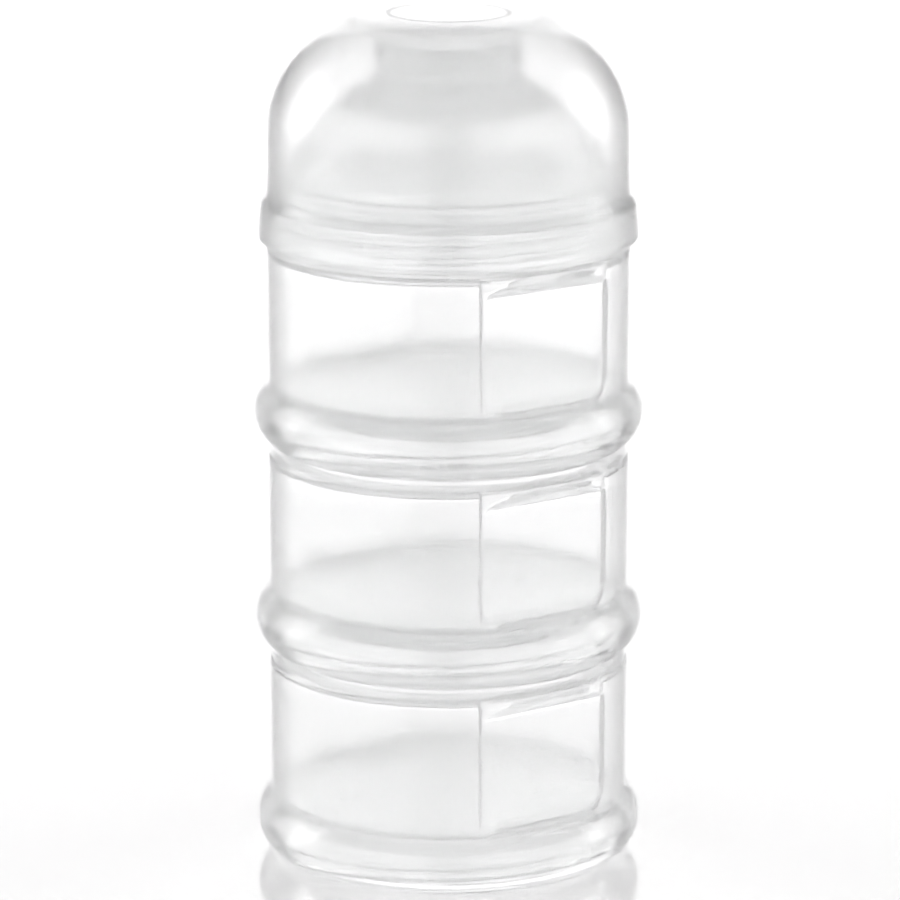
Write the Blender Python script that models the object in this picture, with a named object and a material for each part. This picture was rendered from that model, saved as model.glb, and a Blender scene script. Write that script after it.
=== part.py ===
"""Stacking formula dispenser: three screw-together jars, a screw-on pouring spout and a push-on domed cover.

Metres, +Z up. The origin is at the middle of the face the bottom jar stands on, and the common screw axis
is the Z axis. The two grip flats of every jar face +Y and -Y.
"""
import math

import bmesh
import bpy

MM = 0.001

# ---- driving dimensions, in millimetres ------------------------------------------------------------------
SEGMENTS = 40                 # facets round every turned shape
CLEARANCE = 0.3               # gap between pieces that touch
CUT_OVERRUN = 2.0             # how far a cutter runs past the face that it opens
SMOOTH_ANGLE = 35             # degrees; edges sharper than this stay crisp

RING_CREST_RADIUS = 36.0      # widest part of the bulged base ring of a jar
RING_CREST_HEIGHT = 6.6
RING_LOWER_ARC = 7.0          # radius of the ring's section below its crest
RING_UPPER_ARC = 6.2          # and above it
STACK_PITCH = 39.174          # height that one jar adds to the stack
VALLEY_HEIGHT = 11.68         # groove where the base ring meets the wall
WALL_RADIUS_LOW = 33.36
WALL_RADIUS_HIGH = 33.475
WALL = 1.6                    # moulded wall thickness
SHOULDER_HEIGHT = 37.62
SHOULDER_ROUND = 0.8
SHOULDER_THICKNESS = 1.3
SHOULDER_INNER_CHAMFER = 0.7
FLOOR_UNDERSIDE = 9.2
FLOOR_TOP = 11.2
FLOOR_FILLET = 4.0

NECK_ROOT_RADIUS = 28.8       # core of the neck, under its thread
NECK_BORE_RADIUS = 27.3
NECK_HEIGHT = 8.6             # above the shoulder
NECK_CHAMFER = 0.4
SOCKET_RADIUS = 30.3          # bore of every piece that screws over a neck
THREAD_DEPTH = 1.15
THREAD_PITCH = 3.1
THREAD_BASE_WIDTH = 1.5
THREAD_CREST_WIDTH = 0.6
THREAD_ROOT_DEPTH = 0.5       # how deep a ridge is sunk in its wall, so that the two join
THREAD_RUN_OUT = 3            # facets over which a ridge fades at each end
THREAD_RUN_OUT_DEPTH = 0.2    # how deep its crest ends under the wall's surface
NECK_THREAD_START = 2.3       # middle of the ridge above the shoulder, at the thread's lower end
NECK_THREAD_TURNS = 1.5
SOCKET_THREAD_START = 0.9     # middle of the ridge above the lip, at the thread's lower end
SOCKET_THREAD_TURNS = 1.3

FLAT_DISTANCE = 29.9          # grip flat from the axis
FLAT_HALF_WIDTH = 13.5
FLAT_BOTTOM = 11.7
FLAT_TOP = 33.64              # top of the plane part; above it the recess slopes out to the shoulder
FLAT_SLOPE_TOP = 37.9
FLAT_BOTTOM_CORNER = 5.0
FLAT_TOP_CORNER = 1.5
FLAT_SIDE_DRAFT = 0.6         # how much wider the recess is at its mouth, each side

SEAL_INNER_RADIUS = 27.5
SEAL_OUTER_RADIUS = 30.0
SEAL_THICKNESS = 1.5

SPOUT_LIP = 117.2
SPOUT_SKIRT_RADIUS = 31.8
SPOUT_SKIRT_TOP = 122.6
SPOUT_BEAD_RADIUS = 32.6      # the bead that the cover's band grips
SPOUT_BEAD_BOTTOM = 123.2
SPOUT_BEAD_TOP = 124.1
SPOUT_NECK_RADIUS = 13.44
SPOUT_BORE_RADIUS = 11.94
SPOUT_TOP = 153.7
BELL_OUTSIDE = ((31.5, 125.9), (29.8, 132.5), (24.0, 142.5), (SPOUT_NECK_RADIUS, 147.4))
BELL_INSIDE = ((28.4, 127.4), (28.2, 132.0), (22.8, 141.2), (SPOUT_BORE_RADIUS, 145.9))

DOME_LIP = 116.84
DOME_TOP = 159.0
DOME_WALL = 1.5
DOME_ROUND = 21.75            # radius of the section from the wall to the crown
DOME_WALL_RADIUS = 33.25
BAND_LIP_RADIUS = 35.07       # the skirt band flares slightly towards its lip
BAND_TOP_RADIUS = 34.7
BAND_BORE_RADIUS = 33.0
BAND_BORE_TOP = 124.6
BAND_LIP_CHAMFER = 0.8
BAND_SHOULDER = ((BAND_TOP_RADIUS, 122.4), (BAND_TOP_RADIUS, 124.0), (33.9, 124.4), (33.45, 126.0))
DOME_INNER_WALL_BOTTOM = 126.4

# ---- derived ---------------------------------------------------------------------------------------------
NECK_TOP = SHOULDER_HEIGHT + NECK_HEIGHT
UPPER_NECK_TOP = 2 * STACK_PITCH + NECK_TOP
SPOUT_CEILING = UPPER_NECK_TOP + SEAL_THICKNESS + 2 * CLEARANCE


# ---- outlines: lists of (radius, height) in millimetres --------------------------------------------------
def arc(centre_r, centre_z, radius, start_deg, end_deg, steps):
    """Points on a circular arc of a turned outline, both ends included."""
    points = []
    for k in range(steps + 1):
        a = math.radians(start_deg + (end_deg - start_deg) * k / steps)
        points.append((centre_r + radius * math.cos(a), centre_z + radius * math.sin(a)))
    return points


def bezier(control, steps):
    """Points on a cubic Bezier curve, both ends included."""
    (x0, y0), (x1, y1), (x2, y2), (x3, y3) = control
    points = []
    for k in range(steps + 1):
        t = k / steps
        s = 1 - t
        weights = (s ** 3, 3 * s * s * t, 3 * s * t * t, t ** 3)
        points.append((
            weights[0] * x0 + weights[1] * x1 + weights[2] * x2 + weights[3] * x3,
            weights[0] * y0 + weights[1] * y1 + weights[2] * y2 + weights[3] * y3,
        ))
    return points


def jar_outside():
    """Lip, bulged ring, wall, shoulder, neck, and the socket underneath; the inside is cut out later."""
    lower_r = RING_CREST_RADIUS - RING_LOWER_ARC
    upper_r = RING_CREST_RADIUS - RING_UPPER_ARC
    lip_angle = math.degrees(math.asin(-RING_CREST_HEIGHT / RING_LOWER_ARC))
    valley_angle = math.degrees(math.asin((VALLEY_HEIGHT - RING_CREST_HEIGHT) / RING_UPPER_ARC))
    outline = [(0.0, FLOOR_UNDERSIDE), (SOCKET_RADIUS, FLOOR_UNDERSIDE), (SOCKET_RADIUS, 0.0)]
    outline += arc(lower_r, RING_CREST_HEIGHT, RING_LOWER_ARC, lip_angle, 0, 5)
    outline += arc(upper_r, RING_CREST_HEIGHT, RING_UPPER_ARC, 0, valley_angle, 4)[1:-1]
    outline.append((WALL_RADIUS_LOW, VALLEY_HEIGHT))
    round_centre = (WALL_RADIUS_HIGH - SHOULDER_ROUND, SHOULDER_HEIGHT - SHOULDER_ROUND)
    outline += arc(*round_centre, SHOULDER_ROUND, 0, 90, 2)
    outline += [
        (NECK_ROOT_RADIUS, SHOULDER_HEIGHT),
        (NECK_ROOT_RADIUS, NECK_TOP - NECK_CHAMFER),
        (NECK_ROOT_RADIUS - NECK_CHAMFER, NECK_TOP),
        (0.0, NECK_TOP),
    ]
    return outline


def jar_inside():
    """The powder space and the mouth, run past the neck's rim so that it cuts it open."""
    wall_low = WALL_RADIUS_LOW - WALL
    wall_high = WALL_RADIUS_HIGH - WALL
    ceiling = SHOULDER_HEIGHT - SHOULDER_THICKNESS
    outline = [(0.0, FLOOR_TOP)]
    outline += arc(wall_low - FLOOR_FILLET, FLOOR_TOP + FLOOR_FILLET, FLOOR_FILLET, -90, 0, 3)
    outline += [
        (wall_high, ceiling - SHOULDER_INNER_CHAMFER),
        (wall_high - SHOULDER_INNER_CHAMFER, ceiling),
        (NECK_BORE_RADIUS, ceiling),
        (NECK_BORE_RADIUS, NECK_TOP + CUT_OVERRUN),
        (0.0, NECK_TOP + CUT_OVERRUN),
    ]
    return outline


def spout_outline():
    """Threaded skirt with a bead for the cover, bell, and cylindrical pouring neck."""
    outline = [
        (SOCKET_RADIUS, SPOUT_LIP),
        (SPOUT_SKIRT_RADIUS, SPOUT_LIP),
        (SPOUT_SKIRT_RADIUS, SPOUT_SKIRT_TOP),
        (SPOUT_BEAD_RADIUS, SPOUT_BEAD_BOTTOM),
        (SPOUT_BEAD_RADIUS, SPOUT_BEAD_TOP),
    ]
    outline += bezier(BELL_OUTSIDE, 7)
    outline += [(SPOUT_NECK_RADIUS, SPOUT_TOP), (SPOUT_BORE_RADIUS, SPOUT_TOP)]
    outline += bezier(BELL_INSIDE, 7)[::-1]
    outline += [(BELL_INSIDE[0][0], SPOUT_CEILING), (SOCKET_RADIUS, SPOUT_CEILING)]
    return outline


def dome_outline():
    """Flared skirt band, wall, and a big round up to a nearly flat crown."""
    centre_r = DOME_WALL_RADIUS - DOME_ROUND
    centre_z = DOME_TOP - DOME_ROUND
    inner_round = DOME_ROUND - DOME_WALL
    outline = [
        (BAND_BORE_RADIUS, DOME_LIP),
        (BAND_LIP_RADIUS - BAND_LIP_CHAMFER, DOME_LIP),
        (BAND_LIP_RADIUS, DOME_LIP + BAND_LIP_CHAMFER),
    ]
    outline += bezier(BAND_SHOULDER, 4)
    outline += arc(centre_r, centre_z, DOME_ROUND, 0, 90, 8)
    outline.append((0.0, DOME_TOP))
    outline.append((0.0, DOME_TOP - DOME_WALL))
    outline += arc(centre_r, centre_z, inner_round, 90, 0, 8)
    outline += [(DOME_WALL_RADIUS - DOME_WALL, DOME_INNER_WALL_BOTTOM), (BAND_BORE_RADIUS, BAND_BORE_TOP)]
    return outline


# ---- mesh building ---------------------------------------------------------------------------------------
def new_object(name, mesh):
    obj = bpy.data.objects.new(name, mesh)
    bpy.context.scene.collection.objects.link(obj)
    return obj


def mesh_from(name, vertices, faces):
    mesh = bpy.data.meshes.new(name)
    mesh.from_pydata([tuple(c * MM for c in v) for v in vertices], [], faces)
    bm = bmesh.new()
    bm.from_mesh(mesh)
    bmesh.ops.recalc_face_normals(bm, faces=bm.faces)
    bm.to_mesh(mesh)
    bm.free()
    return mesh


def turned(name, outline, closed):
    """Turn an outline about Z. A closed outline is a ring; an open one starts and ends on the axis."""
    rings = []
    vertices = []
    for radius, height in outline:
        if radius == 0.0:
            rings.append([len(vertices)] * SEGMENTS)
            vertices.append((0.0, 0.0, height))
            continue
        rings.append(list(range(len(vertices), len(vertices) + SEGMENTS)))
        for k in range(SEGMENTS):
            a = 2 * math.pi * k / SEGMENTS
            vertices.append((radius * math.cos(a), radius * math.sin(a), height))
    faces = []
    pairs = list(zip(rings, rings[1:]))
    if closed:
        pairs.append((rings[-1], rings[0]))
    for low, high in pairs:
        for k in range(SEGMENTS):
            n = (k + 1) % SEGMENTS
            corners = (low[k], low[n], high[n], high[k])
            face = tuple(dict.fromkeys(corners))
            if len(face) > 2:
                faces.append(face)
    return mesh_from(name, vertices, faces)


def thread_ridge(name, root_radius, depth, start_height, start_turn, turns):
    """A helical ridge. Positive depth stands out from a neck, negative depth stands in from a socket."""
    side = math.copysign(1.0, depth)
    buried = root_radius - side * THREAD_ROOT_DEPTH
    steps = round(turns * SEGMENTS)
    first = round(start_turn * SEGMENTS)
    vertices = []
    for k in range(steps + 1):
        a = 2 * math.pi * (first + k) / SEGMENTS
        z = start_height + THREAD_PITCH * k / SEGMENTS
        full = min(1.0, min(k, steps - k) / THREAD_RUN_OUT)
        crest = root_radius + depth * full - side * THREAD_RUN_OUT_DEPTH * (1 - full)
        for r, dz in (
            (buried, -THREAD_BASE_WIDTH / 2),
            (crest, -THREAD_CREST_WIDTH / 2),
            (crest, THREAD_CREST_WIDTH / 2),
            (buried, THREAD_BASE_WIDTH / 2),
        ):
            vertices.append((r * math.cos(a), r * math.sin(a), z + dz))
    faces = [(0, 1, 2, 3), tuple(4 * steps + i for i in (3, 2, 1, 0))]
    for k in range(steps):
        for i in range(4):
            j = (i + 1) % 4
            faces.append((4 * k + i, 4 * k + j, 4 * k + 4 + j, 4 * k + 4 + i))
    return mesh_from(name, vertices, faces)


def rounded_outline(half_width, bottom, top, y):
    """A rectangle with rounded corners in a plane of constant y."""
    points = []
    for side, end, corner, start in (
        (1, bottom, FLAT_BOTTOM_CORNER, -90),
        (1, top, -FLAT_TOP_CORNER, 0),
        (-1, top, -FLAT_TOP_CORNER, 90),
        (-1, bottom, FLAT_BOTTOM_CORNER, 180),
    ):
        radius = abs(corner)
        x = side * (half_width - radius)
        z = end + corner
        for k in range(4):
            a = math.radians(start + 30 * k)
            points.append((x + radius * math.cos(a), y, z + radius * math.sin(a)))
    return points


def flat_cutters(name, distance, half_width, bottom, top, slope_top):
    """Two opposite blocks that leave a grip flat; the top of each slopes outwards to the shoulder."""
    reach = WALL_RADIUS_HIGH + CUT_OVERRUN
    slope = (slope_top - top) / (WALL_RADIUS_HIGH - FLAT_DISTANCE)
    far_top = top + slope * (reach - distance)
    near = rounded_outline(half_width, bottom, top, distance)
    far = rounded_outline(half_width + FLAT_SIDE_DRAFT, bottom, far_top, reach)
    count = len(near)
    vertices = []
    faces = []
    for turn in (1, -1):
        base = len(vertices)
        vertices += [(turn * x, turn * y, z) for x, y, z in near + far]
        faces.append(tuple(base + i for i in range(count)))
        faces.append(tuple(base + count + i for i in reversed(range(count))))
        for i in range(count):
            j = (i + 1) % count
            faces.append((base + i, base + count + i, base + count + j, base + j))
    return mesh_from(name, vertices, faces)


def combine(obj, operation, mesh):
    """Add a Boolean with a helper object of this mesh, and return the helper."""
    helper = new_object(mesh.name, mesh)
    helper.hide_render = True
    helper.display_type = "WIRE"
    modifier = obj.modifiers.new(operation.title(), "BOOLEAN")
    modifier.operation = operation
    modifier.solver = "EXACT"
    modifier.object = helper
    return helper


def evaluated_mesh(obj, name):
    """The object's mesh with its modifiers applied."""
    graph = bpy.context.evaluated_depsgraph_get()
    mesh = bpy.data.meshes.new_from_object(obj.evaluated_get(graph))
    mesh.name = name
    return mesh


def remove_objects(objects):
    for obj in objects:
        bpy.data.objects.remove(obj, do_unlink=True)


# ---- materials -------------------------------------------------------------------------------------------
def plastic(name, colour, roughness):
    material = bpy.data.materials.new(name)
    material.use_nodes = True
    shader = material.node_tree.nodes["Principled BSDF"]
    shader.inputs["Base Color"].default_value = (*colour, 1.0)
    shader.inputs["Roughness"].default_value = roughness
    shader.inputs["Metallic"].default_value = 0.0
    return material


# ---- sub-parts -------------------------------------------------------------------------------------------
def jar_mesh():
    """One jar: outside, grip flats, powder space, and the threads of its neck and of its socket."""
    body = new_object("jar_body", turned("jar_outside", jar_outside(), False))
    space = new_object("jar_space", turned("jar_inside", jar_inside(), False))
    inner_flats = flat_cutters(
        "inner_flats",
        FLAT_DISTANCE - WALL,
        FLAT_HALF_WIDTH + WALL / 2,
        FLOOR_TOP - FLAT_BOTTOM_CORNER,
        SHOULDER_HEIGHT + FLAT_TOP_CORNER,
        SHOULDER_HEIGHT + FLAT_TOP_CORNER,
    )
    outer_flats = flat_cutters(
        "outer_flats", FLAT_DISTANCE, FLAT_HALF_WIDTH, FLAT_BOTTOM, FLAT_TOP, FLAT_SLOPE_TOP
    )
    neck_thread = thread_ridge(
        "neck_thread",
        NECK_ROOT_RADIUS,
        THREAD_DEPTH,
        SHOULDER_HEIGHT + NECK_THREAD_START,
        0.0,
        NECK_THREAD_TURNS,
    )
    helpers = [space, combine(space, "DIFFERENCE", inner_flats), combine(body, "DIFFERENCE", outer_flats)]
    cut_space = evaluated_mesh(space, "jar_cut_space")
    helpers.append(combine(body, "DIFFERENCE", cut_space))
    helpers.append(combine(body, "UNION", neck_thread))
    helpers.append(combine(body, "UNION", socket_thread(0.0)))
    mesh = evaluated_mesh(body, "jar")
    remove_objects(helpers + [body])
    return mesh


def socket_thread(lip_height):
    """The thread inside a socket. It starts where it lies half a pitch below the thread of the neck."""
    neck_start = SHOULDER_HEIGHT + NECK_THREAD_START - STACK_PITCH
    turn = (SOCKET_THREAD_START - neck_start) / THREAD_PITCH + 0.5
    step = round(turn * SEGMENTS)
    start = lip_height + neck_start + (step / SEGMENTS - 0.5) * THREAD_PITCH
    return thread_ridge(
        "socket_thread", SOCKET_RADIUS, -THREAD_DEPTH, start, step / SEGMENTS, SOCKET_THREAD_TURNS
    )


def spout_mesh():
    """The spout with its socket thread. It seats on the upper jar's neck as a jar would."""
    body = new_object("spout_body", turned("spout_turned", spout_outline(), True))
    helper = combine(body, "UNION", socket_thread(3 * STACK_PITCH))
    mesh = evaluated_mesh(body, "spout")
    remove_objects([helper, body])
    return mesh


def seal_outline():
    return [
        (SEAL_INNER_RADIUS, 0.0),
        (SEAL_OUTER_RADIUS, 0.0),
        (SEAL_OUTER_RADIUS, SEAL_THICKNESS),
        (SEAL_INNER_RADIUS, SEAL_THICKNESS),
    ]


def place(name, mesh, height, material):
    """An object of this mesh on the screw axis, shaded smooth apart from its edges."""
    if not mesh.materials:
        mesh.materials.append(material)
    mesh.shade_smooth()
    mesh.set_sharp_from_angle(angle=math.radians(SMOOTH_ANGLE))
    obj = new_object(name, mesh)
    obj.location = (0.0, 0.0, height * MM)
    return obj


def build():
    for obj in list(bpy.data.objects):
        bpy.data.objects.remove(obj, do_unlink=True)

    jar_plastic = plastic("frosted_polypropylene", (0.86, 0.87, 0.90), 0.28)
    cover_plastic = plastic("clear_polypropylene", (0.88, 0.89, 0.91), 0.22)
    spout_plastic = plastic("spout_polypropylene", (0.84, 0.85, 0.88), 0.30)
    silicone = plastic("seal_silicone", (0.80, 0.81, 0.83), 0.50)

    jar = jar_mesh()
    for level, name in enumerate(("lower_jar", "middle_jar", "upper_jar")):
        place(name, jar, level * STACK_PITCH, jar_plastic)

    seal = turned("seal", seal_outline(), True)
    for level, name in enumerate(("lower_seal", "middle_seal", "upper_seal")):
        place(name, seal, level * STACK_PITCH + NECK_TOP + CLEARANCE, silicone)

    place("pouring_spout", spout_mesh(), 0.0, spout_plastic)
    place("dome_cover", turned("dome", dome_outline(), True), 0.0, cover_plastic)


build()
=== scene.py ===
import math

import bmesh
import bpy
import numpy as np
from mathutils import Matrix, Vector


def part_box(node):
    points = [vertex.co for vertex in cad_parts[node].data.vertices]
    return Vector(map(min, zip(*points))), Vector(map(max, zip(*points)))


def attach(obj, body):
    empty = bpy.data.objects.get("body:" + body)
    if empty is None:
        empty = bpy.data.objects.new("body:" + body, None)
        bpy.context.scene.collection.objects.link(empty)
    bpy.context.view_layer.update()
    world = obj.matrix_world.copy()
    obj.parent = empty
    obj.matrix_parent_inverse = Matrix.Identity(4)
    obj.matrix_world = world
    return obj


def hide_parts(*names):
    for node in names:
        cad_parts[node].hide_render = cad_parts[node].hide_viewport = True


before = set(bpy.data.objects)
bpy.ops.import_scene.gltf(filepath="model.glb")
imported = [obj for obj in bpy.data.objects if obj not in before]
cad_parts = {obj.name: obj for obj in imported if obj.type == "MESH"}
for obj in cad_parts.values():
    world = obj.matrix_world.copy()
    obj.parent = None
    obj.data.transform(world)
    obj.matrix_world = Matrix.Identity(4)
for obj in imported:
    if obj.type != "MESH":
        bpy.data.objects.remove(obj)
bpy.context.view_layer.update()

# ---- lengths, in metres ----------------------------------------------------------------------------------
MM = 0.001


def low(node):
    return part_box(node)[0]


def high(node):
    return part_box(node)[1]


RING_CREST_RADIUS = high("lower_jar").x
STACK_PITCH = low("middle_jar").z - low("lower_jar").z
NECK_TOP = high("lower_jar").z
DOME_TOP = high("dome_cover").z
DOME_LIP = low("dome_cover").z
BAND_LIP_RADIUS = high("dome_cover").x
SPOUT_LIP = low("pouring_spout").z
SPOUT_TOP = high("pouring_spout").z
SPOUT_BEAD_RADIUS = high("pouring_spout").x
SEAL_OUTER_RADIUS = high("lower_seal").x
SEAL_LOW = low("lower_seal").z
SEAL_HIGH = high("lower_seal").z

WALL = 1.6 * MM
RING_CREST_HEIGHT = 6.6 * MM
RING_LOWER_ARC = 7.0 * MM
RING_UPPER_ARC = 6.2 * MM
VALLEY_HEIGHT = 11.68 * MM
WALL_RADIUS_LOW = 33.36 * MM
WALL_RADIUS_HIGH = 33.475 * MM
NECK_HEIGHT = 8.6 * MM
SHOULDER_HEIGHT = NECK_TOP - NECK_HEIGHT
SHOULDER_ROUND = 0.8 * MM
SHOULDER_THICKNESS = 1.3 * MM
FLOOR_UNDERSIDE = 9.2 * MM
FLOOR_TOP = 11.2 * MM
FLOOR_FILLET = 1.2 * MM
NECK_ROOT_RADIUS = 28.8 * MM
NECK_BORE_RADIUS = 27.3 * MM
SOCKET_RADIUS = 30.3 * MM

THREAD_DEPTH = 1.15 * MM
THREAD_PITCH = 3.1 * MM
THREAD_BASE_WIDTH = 1.5 * MM
THREAD_CREST_WIDTH = 0.6 * MM
NECK_THREAD_START = 2.3 * MM
NECK_THREAD_TURNS = 1.5
SOCKET_THREAD_START = 0.9 * MM
SOCKET_THREAD_TURNS = 1.3
THREAD_RUN_OUT = 0.09          # turns over which each end of a thread sinks into its wall

FLAT_DISTANCE = 29.9 * MM
FLAT_HALF_WIDTH = 13.5 * MM
FLAT_BOTTOM = 11.95 * MM
FLAT_TOP = 33.64 * MM
FLAT_SLOPE_TOP = 37.9 * MM
FLAT_TOP_CORNER = 3.0 * MM     # of the recess, up at the shoulder
FLAT_PLANE_CORNER = 1.0 * MM   # and of the plane part under the slope
FLAT_BOTTOM_CORNER = 5.0 * MM
FLAT_EDGE = 0.22 * MM          # half width of the step round a grip flat, outside
FLAT_EDGE_BOTTOM = 0.2 * MM    # and of the step where a flat meets the base ring
FLAT_EDGE_INSIDE = 0.22 * MM   # and of the step on the inside of the wall

SPOUT_SKIRT_RADIUS = 31.8 * MM
SPOUT_NECK_RADIUS = 13.44 * MM
SPOUT_BORE_RADIUS = 11.94 * MM
SPOUT_SKIRT_TOP = 122.6 * MM
SPOUT_BEAD_LOW = 123.2 * MM
SPOUT_BEAD_HIGH = 124.1 * MM
DOME_WALL = 1.5 * MM
DOME_ROUND = 21.75 * MM
DOME_WALL_RADIUS = 33.25 * MM
DOME_WALL_LOW = 131 * MM
DOME_INNER_WALL_LOW = 126.4 * MM
DOME_CROWN_DIP = 0.02 * MM     # how far the crown's middle lies below its edge
BAND_TOP = 122.6 * MM
BAND_TOP_RADIUS = 34.7 * MM
BAND_BORE_TOP = 124.6 * MM
BAND_BORE_RADIUS = 33.0 * MM
SEAL_INNER_RADIUS = 27.5 * MM

# ---- camera, from the front left, a little above ---------------------------------------------------------
CAMERA_AZIMUTH = math.radians(-35.2)
CAMERA_ELEVATION = math.radians(13.808)
CAMERA_DISTANCE = 0.944755
CAMERA_AIM = Vector((0, 0, 76.604 * MM))
CAMERA_LENS = 202.91
CAMERA_SENSOR = 36.0
CAMERA_SHIFT = 1.5 / 900


def direction(azimuth, elevation):
    """Unit vector from the object towards an azimuth (0 is -Y, 90 degrees is +X) and an elevation."""
    return Vector((
        math.sin(azimuth) * math.cos(elevation),
        -math.cos(azimuth) * math.cos(elevation),
        math.sin(elevation),
    ))


def make_camera():
    data = bpy.data.cameras.new("camera")
    data.lens = CAMERA_LENS
    data.sensor_width = CAMERA_SENSOR
    data.shift_x = CAMERA_SHIFT
    camera = bpy.data.objects.new("camera", data)
    bpy.context.scene.collection.objects.link(camera)
    back = direction(CAMERA_AZIMUTH, CAMERA_ELEVATION)
    camera.location = CAMERA_AIM + back * CAMERA_DISTANCE
    camera.rotation_mode = "QUATERNION"
    camera.rotation_quaternion = (-back).to_track_quat("-Z", "Y")
    bpy.context.scene.camera = camera


# ---- outlines --------------------------------------------------------------------------------------------
def arc(centre_r, centre_z, radius, start_deg, end_deg, steps):
    a = np.radians(np.linspace(start_deg, end_deg, steps + 1))
    return list(zip(centre_r + radius * np.cos(a), centre_z + radius * np.sin(a)))


def line(start, end, steps):
    """Points after start, up to and with end."""
    (r0, z0), (r1, z1) = start, end
    return [(r0 + (r1 - r0) * k / steps, z0 + (z1 - z0) * k / steps) for k in range(1, steps + 1)]


def rounded(corners, radii, steps=4):
    """An outline through these corners, each rounded by a circular arc of its radius (0 keeps it sharp)."""
    out = []
    for i, (corner, radius) in enumerate(zip(corners, radii)):
        if radius == 0 or i in (0, len(corners) - 1):
            out.append(corner)
            continue
        p = np.array(corner)
        a = np.array(corners[i - 1]) - p
        b = np.array(corners[i + 1]) - p
        a_unit, b_unit = a / np.linalg.norm(a), b / np.linalg.norm(b)
        half = math.acos(np.clip(a_unit @ b_unit, -1, 1)) / 2
        reach = min(radius / math.tan(half), 0.49 * np.linalg.norm(a), 0.49 * np.linalg.norm(b))
        radius = reach * math.tan(half)
        middle = (a_unit + b_unit) / np.linalg.norm(a_unit + b_unit)
        centre = p + middle * radius / math.sin(half)
        start, end = p + a_unit * reach - centre, p + b_unit * reach - centre
        sweep = math.acos(np.clip(start @ end / (radius * radius), -1, 1))
        for k in range(steps + 1):
            t = k / steps
            point = (math.sin((1 - t) * sweep) * start + math.sin(t * sweep) * end) / math.sin(sweep)
            out.append(tuple(centre + point))
    return out


def bezier(control, steps):
    t = np.linspace(0, 1, steps + 1)[:, None]
    p = np.array(control)
    curve = (1 - t) ** 3 * p[0] + 3 * (1 - t) ** 2 * t * p[1] + 3 * (1 - t) * t ** 2 * p[2] + t ** 3 * p[3]
    return [tuple(q) for q in curve]


# ---- turned meshes ---------------------------------------------------------------------------------------
def smoothstep(edge0, edge1, x):
    t = np.clip((x - edge0) / (edge1 - edge0), 0, 1)
    return t * t * (3 - 2 * t)


def turned(name, outline, angles, shape=None):
    """A closed mesh turned about Z. shape(angle, radius, height) may change each point's radius.

    An outline that starts and ends on the axis is closed by its poles, any other is a ring.
    """
    outline = np.array(outline)
    on_axis = outline[0][0] < 1e-9
    count = len(angles)
    radius = np.repeat(outline[:, :1], count, axis=1)
    height = np.repeat(outline[:, 1:], count, axis=1)
    angle = np.repeat(np.array(angles)[None, :], len(outline), axis=0)
    if shape is not None:
        radius = shape(angle, radius, height)
    xyz = np.stack([radius * np.cos(angle), radius * np.sin(angle), height], axis=2)
    if on_axis:
        vertices = [tuple(xyz[0, 0])] + [tuple(p) for p in xyz[1:-1].reshape(-1, 3)] + [tuple(xyz[-1, 0])]
        rows = [[1 + i * count + k for k in range(count)] for i in range(len(outline) - 2)]
        last = len(vertices) - 1
        faces = [(0, rows[0][k], rows[0][k - 1]) for k in range(count)]
        faces += [(last, rows[-1][k - 1], rows[-1][k]) for k in range(count)]
        pairs = list(zip(rows, rows[1:]))
    else:
        vertices = [tuple(p) for p in xyz.reshape(-1, 3)]
        rows = [[i * count + k for k in range(count)] for i in range(len(outline))]
        faces = []
        pairs = list(zip(rows, rows[1:] + rows[:1]))
    for a, b in pairs:
        faces += [(a[k - 1], a[k], b[k], b[k - 1]) for k in range(count)]
    mesh = bpy.data.meshes.new(name)
    mesh.from_pydata(vertices, [], faces)
    bm = bmesh.new()
    bm.from_mesh(mesh)
    bmesh.ops.recalc_face_normals(bm, faces=bm.faces)
    bm.to_mesh(mesh)
    bm.free()
    mesh.shade_smooth()
    return mesh


def even_angles(count):
    return [2 * math.pi * k / count for k in range(count)]


def jar_angles():
    """Even spacing, with finer columns across the side edges of the two grip flats."""
    angles = set(round(a, 9) for a in even_angles(120))
    for centre in (math.pi / 2, -math.pi / 2):
        for side in (-1, 1):
            for k in range(22):
                angles.add(round((centre + side * math.radians(19.5 + 0.45 * k)) % (2 * math.pi), 9))
    return sorted(angles)


# ---- threads and grip flats, as changes of radius --------------------------------------------------------
def ridge(angle, height, start_height, start_turn, turns):
    """How far (0 to 1) a helical ridge stands up at each point; start_height is its middle at turn 0."""
    up = np.zeros_like(height)
    for n in range(4):
        turn = angle / (2 * math.pi) + n
        offset = np.abs(height - start_height - THREAD_PITCH * turn)
        across = 1 - smoothstep(THREAD_CREST_WIDTH / 2, THREAD_BASE_WIDTH / 2, offset)
        from_end = np.minimum(turn - start_turn, start_turn + turns - turn)
        up = np.maximum(up, across * smoothstep(0, THREAD_RUN_OUT, from_end))
    return up


def neck_ridge(angle, height):
    return ridge(angle, height, SHOULDER_HEIGHT + NECK_THREAD_START, 0.0, NECK_THREAD_TURNS)


def socket_ridge(angle, height):
    """Half a pitch below the thread of the neck that it turns on; height is measured from the lip."""
    zero = SHOULDER_HEIGHT + NECK_THREAD_START - STACK_PITCH - THREAD_PITCH / 2
    start_turn = (SOCKET_THREAD_START - zero) / THREAD_PITCH
    return ridge(angle, height, zero, start_turn, SOCKET_THREAD_TURNS)


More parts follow.
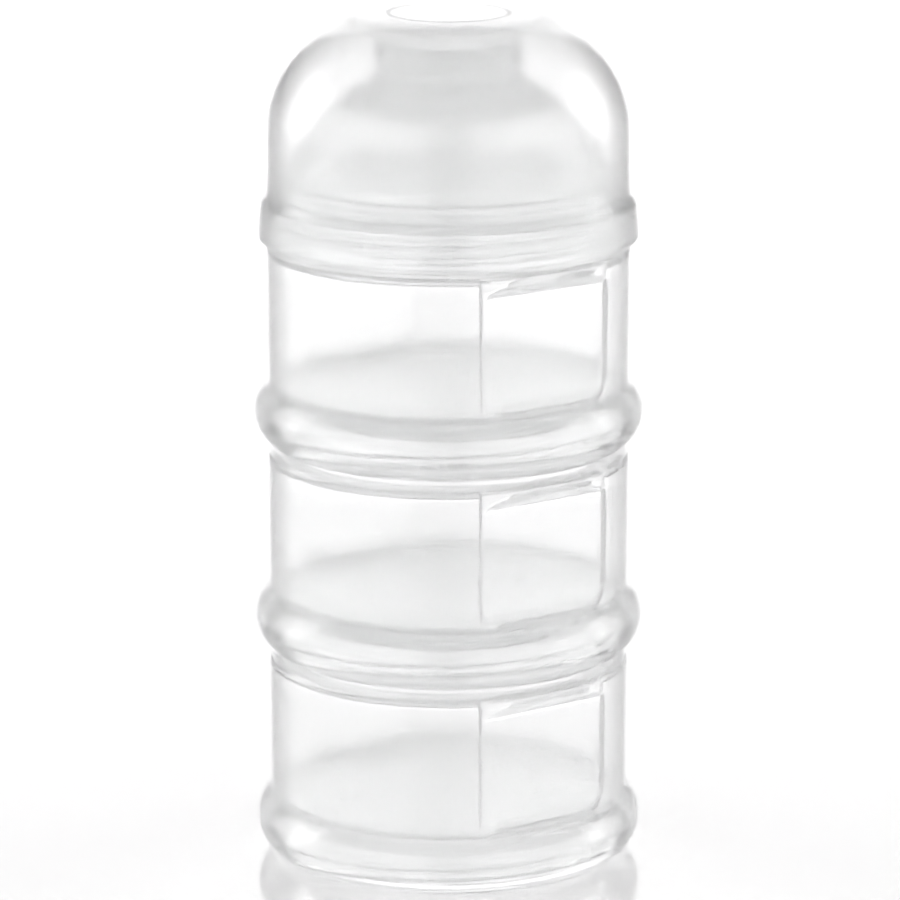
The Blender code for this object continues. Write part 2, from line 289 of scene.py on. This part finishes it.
def flat_radius(angle, radius, height, inset, edge):
    """The radius where a grip flat is sunk into a wall. inset is how far the surface lies behind the flat.

    Outside, the top of the recess slopes out to the shoulder; inside, the flat runs straight up.
    """
    from_middle = np.minimum(np.abs(angle - math.pi / 2), np.abs(angle - 3 * math.pi / 2))
    flat = (FLAT_DISTANCE - inset) / np.maximum(np.cos(from_middle), 0.2)
    x = np.abs(radius * np.sin(from_middle))
    sunk = flat
    if inset == 0:
        corner = FLAT_PLANE_CORNER
        reach = np.clip(x - FLAT_HALF_WIDTH + corner, 0, corner)
        above = height - FLAT_TOP + corner - np.sqrt(corner ** 2 - reach ** 2)
        knee = 0.5 * (above + np.sqrt(above ** 2 + (0.4 * MM) ** 2))
        rise = (WALL_RADIUS_HIGH - FLAT_DISTANCE) / (FLAT_SLOPE_TOP - FLAT_TOP)
        sunk = flat + knee * rise / np.maximum(np.cos(from_middle), 0.2)
    upper = height > (FLAT_BOTTOM + FLAT_SLOPE_TOP) / 2
    corner = np.where(upper, FLAT_TOP_CORNER, FLAT_BOTTOM_CORNER)
    top = FLAT_SLOPE_TOP + (0.3 if inset == 0 else 4.0) * MM
    dx = x - (FLAT_HALF_WIDTH - corner)
    dz = np.where(upper, height - (top - corner), FLAT_BOTTOM - inset + corner - height)
    outside = np.hypot(np.maximum(dx, 0), np.maximum(dz, 0)) + np.minimum(np.maximum(dx, dz), 0) - corner
    edge = edge + (FLAT_EDGE_BOTTOM - edge) * (1 - smoothstep(14 * MM, 17 * MM, height)) * (dz > dx)
    blend = smoothstep(-edge, edge, outside)
    blend = np.where(np.cos(from_middle) < 0.3, 1.0, blend)
    return np.minimum(radius, np.minimum(radius, sunk) * (1 - blend) + radius * blend)


# ---- the pieces' outlines --------------------------------------------------------------------------------
def jar_outline():
    """Underside, socket, ring, wall, shoulder, neck, mouth and powder space, as named stretches."""
    lower_r = RING_CREST_RADIUS - RING_LOWER_ARC
    upper_r = RING_CREST_RADIUS - RING_UPPER_ARC
    lip_angle = math.degrees(math.asin(-RING_CREST_HEIGHT / RING_LOWER_ARC))
    valley_angle = math.degrees(math.asin((VALLEY_HEIGHT - RING_CREST_HEIGHT) / RING_UPPER_ARC))
    socket = rounded(
        [(0, FLOOR_UNDERSIDE), (SOCKET_RADIUS, FLOOR_UNDERSIDE), (SOCKET_RADIUS, 6.4 * MM)], [0, 0.5 * MM, 0]
    )
    socket += line(socket[-1], (SOCKET_RADIUS, 0.35 * MM), 26)
    socket += [(SOCKET_RADIUS + 0.1 * MM, 0.1 * MM), (SOCKET_RADIUS + 0.3 * MM, 0)]
    ring = arc(lower_r, RING_CREST_HEIGHT, RING_LOWER_ARC, lip_angle, 0, 16)
    ring[0] = (ring[0][0] - 0.15 * MM, 0.0)
    ring += arc(upper_r, RING_CREST_HEIGHT, RING_UPPER_ARC, 0, valley_angle, 12)[1:-1]
    ring.append((WALL_RADIUS_LOW + 0.12 * MM, VALLEY_HEIGHT - 0.1 * MM))

    def wall_at(z):
        t = (z - VALLEY_HEIGHT) / (SHOULDER_HEIGHT - VALLEY_HEIGHT)
        return WALL_RADIUS_LOW + (WALL_RADIUS_HIGH - WALL_RADIUS_LOW) * t

    wall = []
    for start, end, steps in ((11.72, 13.4, 14), (13.4, 17.0, 10), (17.0, 31.0, 7), (31.0, 36.8, 26)):
        wall += [(wall_at(z * MM), z * MM) for z in np.linspace(start, end, steps, endpoint=False)]
    wall += arc(WALL_RADIUS_HIGH - SHOULDER_ROUND, SHOULDER_HEIGHT - SHOULDER_ROUND, SHOULDER_ROUND, 0, 90, 6)
    neck_low = (NECK_ROOT_RADIUS, SHOULDER_HEIGHT + 0.5 * MM)
    neck = rounded(
        [(WALL_RADIUS_HIGH - 1.2 * MM, SHOULDER_HEIGHT), (NECK_ROOT_RADIUS, SHOULDER_HEIGHT), neck_low],
        [0, 0.4 * MM, 0],
    )
    neck += line(neck_low, (NECK_ROOT_RADIUS, NECK_TOP - 0.5 * MM), 34)
    rim = rounded(
        [
            (NECK_ROOT_RADIUS, NECK_TOP - 0.6 * MM),
            (NECK_ROOT_RADIUS, NECK_TOP),
            (NECK_BORE_RADIUS, NECK_TOP),
            (NECK_BORE_RADIUS, NECK_TOP - 1.0 * MM),
        ],
        [0, 0.45 * MM, 0.45 * MM, 0],
    )
    under = SHOULDER_HEIGHT - SHOULDER_THICKNESS
    inner_wall = WALL_RADIUS_HIGH - WALL
    inside = rounded(
        [
            (NECK_BORE_RADIUS, NECK_TOP - 3.0 * MM),
            (NECK_BORE_RADIUS, under),
            (inner_wall, under),
            (inner_wall, under - 3.0 * MM),
        ],
        [0, 0.4 * MM, 0.6 * MM, 0],
        6,
    )
    low_wall = WALL_RADIUS_LOW - WALL
    inside += line(inside[-1], (inner_wall - 0.03 * MM, 29.0 * MM), 10)
    inside += line(inside[-1], (low_wall, FLOOR_TOP + FLOOR_FILLET), 12)
    inside += arc(low_wall - FLOOR_FILLET, FLOOR_TOP + FLOOR_FILLET, FLOOR_FILLET, 0, -90, 10)[1:]
    inside += line(inside[-1], (12 * MM, FLOOR_TOP), 4)
    return socket + ring + wall + neck + rim + inside + [(0, FLOOR_TOP)]


def jar_shape(angle, radius, height):
    outer = (radius > NECK_ROOT_RADIUS + 2 * MM) & (height > VALLEY_HEIGHT)
    wall = outer & (radius > WALL_RADIUS_LOW - 0.9 * MM)
    above_floor = height > FLOOR_TOP + 0.05 * MM
    below_shoulder = height < SHOULDER_HEIGHT - 0.5 * SHOULDER_THICKNESS
    inner = (radius > 28 * MM) & ~wall & above_floor & below_shoulder
    neck = (np.abs(radius - NECK_ROOT_RADIUS) < 0.02 * MM) & (height > SHOULDER_HEIGHT + 0.4 * MM)
    socket = (np.abs(radius - SOCKET_RADIUS) < 0.02 * MM) & (height < FLOOR_UNDERSIDE - 1.0 * MM)
    out = radius + neck * THREAD_DEPTH * neck_ridge(angle, height)
    out -= socket * THREAD_DEPTH * socket_ridge(angle, height)
    out = np.where(wall, flat_radius(angle, radius, height, 0.0, FLAT_EDGE), out)
    out = np.where(inner, flat_radius(angle, radius, height, WALL, FLAT_EDGE_INSIDE), out)
    return out


def spout_outline():
    ceiling = SEAL_HIGH + 2 * STACK_PITCH + 0.3 * MM
    bell_outside = ((31.5, 125.9), (29.8, 132.5), (24.0, 142.5), (13.44, 147.4))
    bell_inside = ((28.4, 127.4), (28.2, 132.0), (22.8, 141.2), (11.94, 145.9))
    outside = [(r * MM, z * MM) for r, z in bezier(bell_outside, 26)]
    inside = [(r * MM, z * MM) for r, z in bezier(bell_inside, 26)]
    skirt = [
        (SOCKET_RADIUS, SPOUT_LIP + 0.3 * MM),
        (SOCKET_RADIUS, SPOUT_LIP),
        (SPOUT_SKIRT_RADIUS, SPOUT_LIP),
        (SPOUT_SKIRT_RADIUS, SPOUT_SKIRT_TOP),
        (SPOUT_BEAD_RADIUS, SPOUT_BEAD_LOW),
        (SPOUT_BEAD_RADIUS, SPOUT_BEAD_HIGH),
        outside[0],
        outside[1],
    ]
    out = rounded(skirt, [0, 0.15 * MM, 0.4 * MM, 0.5 * MM, 0.35 * MM, 0.35 * MM, 0.4 * MM, 0], 4)
    out += outside[2:-2]
    out += rounded(
        [
            outside[-2],
            outside[-1],
            (SPOUT_NECK_RADIUS, SPOUT_TOP),
            (SPOUT_BORE_RADIUS, SPOUT_TOP),
            inside[-1],
            inside[-2],
        ],
        [0, 1.2 * MM, 0.5 * MM, 0.5 * MM, 1.5 * MM, 0],
        6,
    )
    out += inside[1:-2][::-1]
    out += rounded(
        [
            inside[1],
            inside[0],
            (28.4 * MM, ceiling),
            (SOCKET_RADIUS, ceiling),
            (SOCKET_RADIUS, ceiling - 1.5 * MM),
        ],
        [0, 0.3 * MM, 0.2 * MM, 0.4 * MM, 0],
        3,
    )
    out += line((SOCKET_RADIUS, ceiling - 1.5 * MM), (SOCKET_RADIUS, SPOUT_LIP + 0.5 * MM), 30)
    return out


def spout_shape(angle, radius, height):
    from_lip = height - 3 * STACK_PITCH
    socket = (np.abs(radius - SOCKET_RADIUS) < 0.02 * MM) & (from_lip < 8.0 * MM)
    return radius - socket * THREAD_DEPTH * socket_ridge(angle, from_lip)


def dome_outline():
    centre_r = DOME_WALL_RADIUS - DOME_ROUND
    centre_z = DOME_TOP - DOME_ROUND
    inner_round = DOME_ROUND - DOME_WALL
    crown = DOME_TOP - DOME_CROWN_DIP
    band = rounded(
        [
            (BAND_BORE_RADIUS, DOME_LIP + 1.0 * MM),
            (BAND_BORE_RADIUS, DOME_LIP),
            (BAND_LIP_RADIUS - 0.9 * MM, DOME_LIP),
            (BAND_LIP_RADIUS, DOME_LIP + 0.9 * MM),
            (BAND_TOP_RADIUS, BAND_TOP),
            (BAND_TOP_RADIUS - 0.15 * MM, 124.1 * MM),
            (DOME_WALL_RADIUS + 0.15 * MM, 125.9 * MM),
            (DOME_WALL_RADIUS, DOME_WALL_LOW),
        ],
        [0, 0.3 * MM, 0.3 * MM, 0.35 * MM, 1.2 * MM, 0.6 * MM, 0.9 * MM, 0],
        5,
    )
    outside = arc(centre_r, centre_z, DOME_ROUND, 0, 90, 40)
    outside += line(outside[-1], (2 * MM, crown), 5)
    inside = line((2 * MM, crown - DOME_WALL), (centre_r, DOME_TOP - DOME_WALL), 5)
    inside += arc(centre_r, centre_z, inner_round, 90, 0, 40)
    step = rounded(
        [
            (DOME_WALL_RADIUS - DOME_WALL, DOME_WALL_LOW),
            (DOME_WALL_RADIUS - DOME_WALL, DOME_INNER_WALL_LOW),
            (BAND_BORE_RADIUS, BAND_BORE_TOP),
            (BAND_BORE_RADIUS, 122.0 * MM),
        ],
        [0, 0.8 * MM, 0.6 * MM, 0],
        5,
    )
    return [(0, crown - DOME_WALL)] + inside + step + band + outside + [(0, crown)]


def seal_outline():
    inner = SEAL_INNER_RADIUS
    corners = [
        ((inner + SEAL_OUTER_RADIUS) / 2, SEAL_LOW),
        (SEAL_OUTER_RADIUS, SEAL_LOW),
        (SEAL_OUTER_RADIUS, SEAL_HIGH),
        (inner, SEAL_HIGH),
        (inner, SEAL_LOW),
        ((inner + SEAL_OUTER_RADIUS) / 2, SEAL_LOW),
    ]
    return rounded(corners, [0, 0.5 * MM, 0.5 * MM, 0.5 * MM, 0.5 * MM, 0], 5)[:-1]


# ---- pieces ----------------------------------------------------------------------------------------------
def add_piece(name, mesh, body, node, material, height=0.0):
    piece = bpy.data.objects.new(name, mesh)
    bpy.context.scene.collection.objects.link(piece)
    piece.location.z = height
    if not mesh.materials:
        mesh.materials.append(material)
    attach(piece, body)
    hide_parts(node)
    return piece


# ---- materials -------------------------------------------------------------------------------------------
DEPTH_TINT = (0.50, 0.503, 0.507, 1)
PP_TINT = (0.996, 0.997, 0.998)
PP_IOR = 1.49
MAP_SOCKETS = ("From Min", "From Max", "To Min", "To Max")


def principled(name):
    material = bpy.data.materials.new(name)
    material.use_nodes = True
    return material, material.node_tree, material.node_tree.nodes["Principled BSDF"]


def zone_mask(tree, position, zone):
    """1 inside a zone round the axis, 0 outside: (radius, its fade, middle height, half height, its fade)."""
    nodes, links = tree.nodes, tree.links
    radius, radius_fade, middle, half, half_fade = zone
    masks = []
    split = nodes.new("ShaderNodeSeparateXYZ")
    links.new(position, split.inputs["Vector"])
    for axes, reach, fade, centre in (("XY", radius, radius_fade, 0.0), ("Z", half, half_fade, middle)):
        join = nodes.new("ShaderNodeCombineXYZ")
        for axis in axes:
            links.new(split.outputs[axis], join.inputs[axis])
        away = nodes.new("ShaderNodeVectorMath")
        away.operation = "DISTANCE"
        links.new(join.outputs["Vector"], away.inputs[0])
        away.inputs[1].default_value = (0, 0, centre)
        mask = nodes.new("ShaderNodeMapRange")
        links.new(away.outputs["Value"], mask.inputs["Value"])
        for socket, setting in zip(MAP_SOCKETS, (reach, reach + fade, 1.0, 0.0)):
            mask.inputs[socket].default_value = setting
        masks.append(mask.outputs["Result"])
    both = nodes.new("ShaderNodeMath")
    both.operation = "MULTIPLY"
    for socket, mask in zip(both.inputs, masks):
        links.new(mask, socket)
    return both.outputs["Value"]


def polypropylene(
    name, tint, roughness, milkiness, density, wave_scale, clear=0.97, matt_zone=None, matt_milkiness=0
):
    """Translucent moulded plastic: rough glass, a share of milky scatter, and faint moulding unevenness.

    A matt zone is milkier, where the mould's face is matt or the wall thick.
    """
    material, tree, shader = principled(name)
    nodes, links = tree.nodes, tree.links
    output = nodes["Material Output"]
    shader.inputs["Transmission Weight"].default_value = clear
    shader.inputs["IOR"].default_value = PP_IOR
    shader.inputs["Specular IOR Level"].default_value = 0.5
    coordinates = nodes.new("ShaderNodeTexCoord")

    cloud = nodes.new("ShaderNodeTexNoise")
    cloud.inputs["Scale"].default_value = wave_scale
    cloud.inputs["Detail"].default_value = 3.0
    links.new(coordinates.outputs["Object"], cloud.inputs["Vector"])

    colour = nodes.new("ShaderNodeMix")
    colour.data_type = "RGBA"
    colour.inputs["A"].default_value = (*[c * 0.995 for c in tint], 1)
    colour.inputs["B"].default_value = (*tint, 1)
    links.new(cloud.outputs["Fac"], colour.inputs["Factor"])
    links.new(colour.outputs["Result"], shader.inputs["Base Color"])

    rough = nodes.new("ShaderNodeMapRange")
    rough.inputs["To Min"].default_value = roughness * 0.85
    rough.inputs["To Max"].default_value = roughness * 1.15
    links.new(cloud.outputs["Fac"], rough.inputs["Value"])
    links.new(rough.outputs["Result"], shader.inputs["Roughness"])

    fine = nodes.new("ShaderNodeTexNoise")
    fine.inputs["Scale"].default_value = 420.0
    fine.inputs["Detail"].default_value = 2.0
    links.new(coordinates.outputs["Object"], fine.inputs["Vector"])
    bump = nodes.new("ShaderNodeBump")
    bump.inputs["Strength"].default_value = 0.05
    bump.inputs["Distance"].default_value = 0.00006
    links.new(fine.outputs["Fac"], bump.inputs["Height"])
    links.new(bump.outputs["Normal"], shader.inputs["Normal"])

    milk = nodes.new("ShaderNodeBsdfTranslucent")
    milk.inputs["Color"].default_value = (*tint, 1)
    mix = nodes.new("ShaderNodeMixShader")
    mix.inputs["Fac"].default_value = milkiness
    links.new(shader.outputs["BSDF"], mix.inputs[1])
    links.new(milk.outputs["BSDF"], mix.inputs[2])
    links.new(mix.outputs["Shader"], output.inputs["Surface"])
    if matt_zone:
        share = nodes.new("ShaderNodeMapRange")
        share.inputs["To Min"].default_value = milkiness
        share.inputs["To Max"].default_value = matt_milkiness
        links.new(zone_mask(tree, coordinates.outputs["Object"], matt_zone), share.inputs["Value"])
        links.new(share.outputs["Result"], mix.inputs["Fac"])

    depth = nodes.new("ShaderNodeVolumeAbsorption")
    depth.inputs["Color"].default_value = DEPTH_TINT
    depth.inputs["Density"].default_value = density
    links.new(depth.outputs["Volume"], output.inputs["Volume"])
    return material


def floor_material():
    material, tree, shader = principled("studio_floor")
    shader.inputs["Base Color"].default_value = (FLOOR_GREY, FLOOR_GREY, FLOOR_GREY, 1)
    shader.inputs["Roughness"].default_value = FLOOR_ROUGHNESS
    shader.inputs["Emission Color"].default_value = (1, 1, 1, 1)
    shader.inputs["Emission Strength"].default_value = FLOOR_GLOW
    return material


# ---- studio ----------------------------------------------------------------------------------------------
SLIT_LIGHT = 1.2              # strengths of the light from each part of the surroundings
TENT_LIGHT = 3.3
TENT_TOP = 24.0               # degrees of elevation where the bright front ends
FLANK_LIGHT = 0.08
BACKDROP_LIGHT = 2.05
BACKDROP_TOP = 33.0
CEILING_SHARE = 0.12
SLIT_EDGE = (9, 18)           # degrees round from the camera over which one part fades into the next
TENT_EDGE = (118, 132)
BACKDROP_EDGE = (157, 165)
TOP_EDGE = (80, 130)
CEILING_EDGE = (-5, 6)        # degrees above the tent's or the backdrop's top
FLOOR_GREY = 0.665
FLOOR_ROUGHNESS = 0.12
FLOOR_HALF_SIZE = 6.0
CAMERA_WHITE = 1.1            # what the camera sees behind the object
FLOOR_GLOW = 0.22


def make_floor():
    mesh = bpy.data.meshes.new("floor")
    size = FLOOR_HALF_SIZE
    corners = [(-size, -size, 0), (size, -size, 0), (size, size, 0), (-size, size, 0)]
    mesh.from_pydata(corners, [], [(0, 1, 2, 3)])
    floor = bpy.data.objects.new("floor", mesh)
    bpy.context.scene.collection.objects.link(floor)
    floor.location.z = -0.1 * MM
    mesh.materials.append(floor_material())


def make_world():
    """What the plastic reflects and refracts: a low white tent with a slit in front, a taller white backdrop
    behind, dark flanks between the two, and a dark ceiling. The camera itself sees plain white."""
    world = bpy.data.worlds.new("studio")
    world.use_nodes = True
    bpy.context.scene.world = world
    tree = world.node_tree
    nodes, links = tree.nodes, tree.links

    def number(operation, first, second=None):
        node = nodes.new("ShaderNodeMath")
        node.operation = operation
        for socket, value in zip(node.inputs, (first, second)):
            if value is None:
                continue
            if isinstance(value, (int, float)):
                socket.default_value = value
            else:
                links.new(value, socket)
        return node.outputs["Value"]

    def fade(value, start, end, before, after):
        node = nodes.new("ShaderNodeMapRange")
        node.interpolation_type = "SMOOTHSTEP"
        links.new(value, node.inputs["Value"])
        for socket, setting in zip(MAP_SOCKETS, (start, end, before, after)):
            if isinstance(setting, (int, float)):
                node.inputs[socket].default_value = setting
            else:
                links.new(setting, node.inputs[socket])
        return node.outputs["Result"]

    coordinates = nodes.new("ShaderNodeTexCoord")
    split = nodes.new("ShaderNodeSeparateXYZ")
    links.new(coordinates.outputs["Generated"], split.inputs["Vector"])
    x, y, z = split.outputs
    towards = direction(CAMERA_AZIMUTH, 0)
    along = number("ADD", number("MULTIPLY", x, towards.x), number("MULTIPLY", y, towards.y))
    across = number("ADD", number("MULTIPLY", x, -towards.y), number("MULTIPLY", y, towards.x))
    azimuth = number("ARCTAN2", number("ABSOLUTE", across), along)
    around = fade(azimuth, *map(math.radians, SLIT_EDGE), SLIT_LIGHT, TENT_LIGHT)
    around = fade(azimuth, *map(math.radians, TENT_EDGE), around, FLANK_LIGHT)
    around = fade(azimuth, *map(math.radians, BACKDROP_EDGE), around, BACKDROP_LIGHT)
    top = fade(azimuth, *map(math.radians, TOP_EDGE), math.radians(TENT_TOP), math.radians(BACKDROP_TOP))
    above = number("SUBTRACT", number("ARCSINE", z), top)
    overhead = fade(above, *map(math.radians, CEILING_EDGE), 1.0, CEILING_SHARE)
    background = nodes["Background"]
    background.inputs["Color"].default_value = (1.0, 0.998, 0.996, 1)
    links.new(number("MULTIPLY", around, overhead), background.inputs["Strength"])

    backdrop = nodes.new("ShaderNodeBackground")
    backdrop.inputs["Color"].default_value = (1, 1, 1, 1)
    backdrop.inputs["Strength"].default_value = CAMERA_WHITE
    path = nodes.new("ShaderNodeLightPath")
    mix = nodes.new("ShaderNodeMixShader")
    links.new(path.outputs["Is Camera Ray"], mix.inputs["Fac"])
    links.new(background.outputs["Background"], mix.inputs[1])
    links.new(backdrop.outputs["Background"], mix.inputs[2])
    links.new(mix.outputs["Shader"], nodes["World Output"].inputs["Surface"])


def make_studio():
    make_floor()
    make_world()
    scene = bpy.context.scene
    scene.view_settings.view_transform = "Standard"
    scene.cycles.max_bounces = 64
    scene.cycles.transmission_bounces = 64
    scene.cycles.glossy_bounces = 32
    scene.cycles.diffuse_bounces = 16
    scene.cycles.blur_glossy = 0.0
    scene.cycles.use_denoising = True
    scene.cycles.denoising_input_passes = "RGB"


# ---- the object ------------------------------------------------------------------------------------------
make_camera()
make_studio()

floor_zone = (31.2 * MM, 0.8 * MM, FLOOR_UNDERSIDE + 2.0 * MM, 2.2 * MM, 1.2 * MM)
crown_zone = (16 * MM, 8 * MM, DOME_TOP - DOME_WALL, 0.4 * MM, 0.8 * MM)
bell_zone = (40 * MM, 1 * MM, 143 * MM, 16 * MM, 2 * MM)
jar_plastic = polypropylene("jar_polypropylene", PP_TINT, 0.14, 0.13, 26.0, 60.0, 0.97, floor_zone, 0.5)
cover_plastic = polypropylene("cover_polypropylene", PP_TINT, 0.16, 0.13, 42.0, 50.0, 0.97, crown_zone, 0.6)
spout_plastic = polypropylene("spout_polypropylene", PP_TINT, 0.20, 0.12, 25.0, 60.0, 0.95, bell_zone, 0.28)
silicone = polypropylene("seal_silicone", (0.99, 0.992, 0.994), 0.45, 0.30, 8.0, 90.0)

jar = turned("jar", jar_outline(), jar_angles(), jar_shape)
seal = turned("seal_ring", seal_outline(), even_angles(96))
for level, name in enumerate(("lower", "middle", "upper")):
    up = level * STACK_PITCH
    add_piece(f"{name}_jar_moulding", jar, f"{name}_jar", f"{name}_jar", jar_plastic, up)
    add_piece(f"{name}_seal_ring", seal, f"{name}_seal", f"{name}_seal", silicone, up)
spout = turned("spout", spout_outline(), even_angles(144), spout_shape)
add_piece("pouring_spout_moulding", spout, "pouring_spout", "pouring_spout", spout_plastic)
dome = turned("dome", dome_outline(), even_angles(144))
add_piece("dome_cover_moulding", dome, "dome_cover", "dome_cover", cover_plastic)
